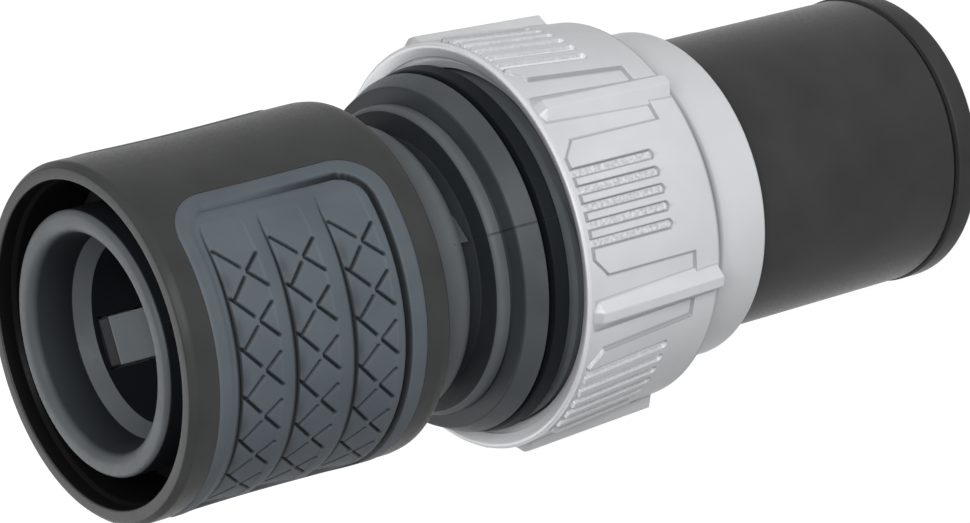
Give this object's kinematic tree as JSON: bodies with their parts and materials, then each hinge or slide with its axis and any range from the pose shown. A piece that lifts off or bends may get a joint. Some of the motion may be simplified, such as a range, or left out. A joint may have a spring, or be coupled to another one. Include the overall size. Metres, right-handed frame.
{
  "type": "garden hose quick connector",
  "caption": "Garden hose quick connector with a sprung release collar, locking claws, a screw-on clamping nut and a long hose sleeve round a barbed spigot.",
  "frame": {"origin": "centre of the hose end's flat face, which stands on the floor", "axes": "+Z along the axis from the hose end to the socket mouth; the locking claws slide along Y; -Y is the side that faces the camera in the picture"},
  "size_m": [0.0356, 0.035, 0.0835],
  "materials": {
    "black_nylon": "satin moulded nylon",
    "soft_grip": "matt soft-touch rubber",
    "slate_moulding": "satin moulded plastic",
    "claw_moulding": "smooth moulded plastic",
    "spring_steel": "bright drawn wire",
    "brass": "turned brass",
    "seal_rubber": "matt rubber",
    "natural_acetal": "natural white moulding",
    "satin_aluminium": "satin silver"
  },
  "bodies": {
    "tail": {"hose_sleeve": "black_nylon", "end_ring": "black_nylon", "hose_wiper": "seal_rubber", "flange_washer": "natural_acetal"},
    "nut": {"union_nut": "satin_aluminium", "trim_ring": "satin_aluminium"},
    "socket": {"socket_body": "slate_moulding", "hose_spigot": "brass", "spigot_seal": "seal_rubber", "thrust_ring": "natural_acetal", "hose_collet": "natural_acetal", "spring_washer": "spring_steel", "collar_spring": "spring_steel"},
    "collar": {"release_collar": "black_nylon", "grip_pad_a": "soft_grip", "grip_pad_b": "soft_grip"},
    "claw_a": {"locking_claw_a": "claw_moulding"},
    "claw_b": {"locking_claw_b": "claw_moulding"}
  },
  "joints": [
    {"name": "nut_turn", "type": "hinge", "parent": "tail", "child": "nut", "pos_m": [0, 0, 0.04], "axis": [0, 0, -1], "range_deg": [0, 540]},
    {"name": "socket_lift", "type": "slide", "parent": "tail", "child": "socket", "axis": [0, 0, 1], "range_m": [0, 0.0045]},
    {"name": "collar_slide", "type": "slide", "parent": "socket", "child": "collar", "axis": [0, 0, -1], "range_m": [0, 0.005], "stiffness_N_per_m": 600, "springref_m": -0.004, "deforming": ["collar_spring"]},
    {"name": "claw_a_out", "type": "slide", "parent": "socket", "child": "claw_a", "axis": [0, -1, 0], "range_m": [0, 0.00091]},
    {"name": "claw_b_out", "type": "slide", "parent": "socket", "child": "claw_b", "axis": [0, 1, 0], "range_m": [0, 0.00091]}
  ],
  "couplings": [
    {"joint": "nut_turn", "follows": "socket_lift", "rad_per_m": 2094.4},
    {"joint": "claw_a_out", "follows": "collar_slide", "ratio": 0.18},
    {"joint": "claw_b_out", "follows": "collar_slide", "ratio": 0.18}
  ]
}
